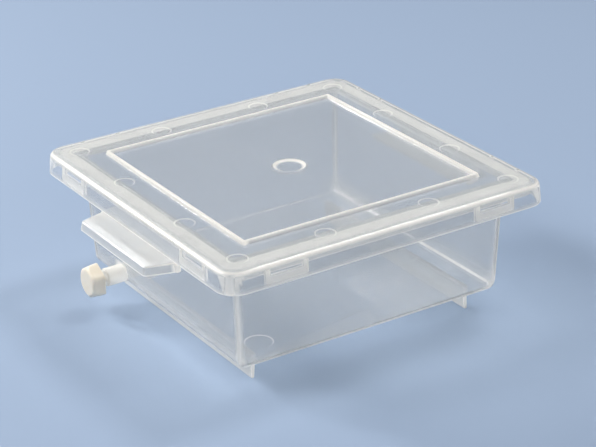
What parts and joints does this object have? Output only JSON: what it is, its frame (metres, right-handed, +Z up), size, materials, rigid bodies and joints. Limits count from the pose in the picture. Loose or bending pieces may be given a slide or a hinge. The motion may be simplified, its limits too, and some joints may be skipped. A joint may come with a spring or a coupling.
{
  "type": "lidded laboratory staining box",
  "caption": "Shallow square see-through plastic tank on runner feet, with a latched lift-off lid, carrying ledges and a capped drain spout, for staining and washing flat gels and slides.",
  "frame": {"origin": "on the surface that the runner feet stand on, under the middle of the tank and lid", "axes": "+Z up, -Y towards the drain spout and its carrying ledge, +X along the runner feet"},
  "size_m": [0.2518, 0.2796, 0.1017],
  "materials": {
    "clear_plastic": "natural see-through polypropylene, glossy",
    "milky_plastic": "natural see-through polypropylene, glossy",
    "cap_plastic": "undyed cream plastic, satin",
    "seal_rubber": "matte"
  },
  "bodies": {
    "tank": {"tank": "clear_plastic"},
    "lid": {"lid": "milky_plastic"},
    "washer": {"cap_seal": "seal_rubber"},
    "cap": {"drain_cap": "cap_plastic"}
  },
  "joints": [
    {"name": "lid_lift", "type": "slide", "parent": "tank", "child": "lid", "axis": [0, 0, 1], "range_m": [0, 0.12]},
    {"name": "cap_travel", "type": "slide", "parent": "tank", "child": "washer", "axis": [0, -1, 0], "range_m": [0, 0.03]},
    {"name": "cap_turn", "type": "hinge", "parent": "washer", "child": "cap", "pos_m": [-0.0571, -0.1283, 0.0243], "axis": [0, -1, 0], "range_deg": [0, 5400]}
  ],
  "couplings": [
    {"joint": "cap_travel", "follows": "cap_turn", "m_per_rad": 0.00031831}
  ]
}
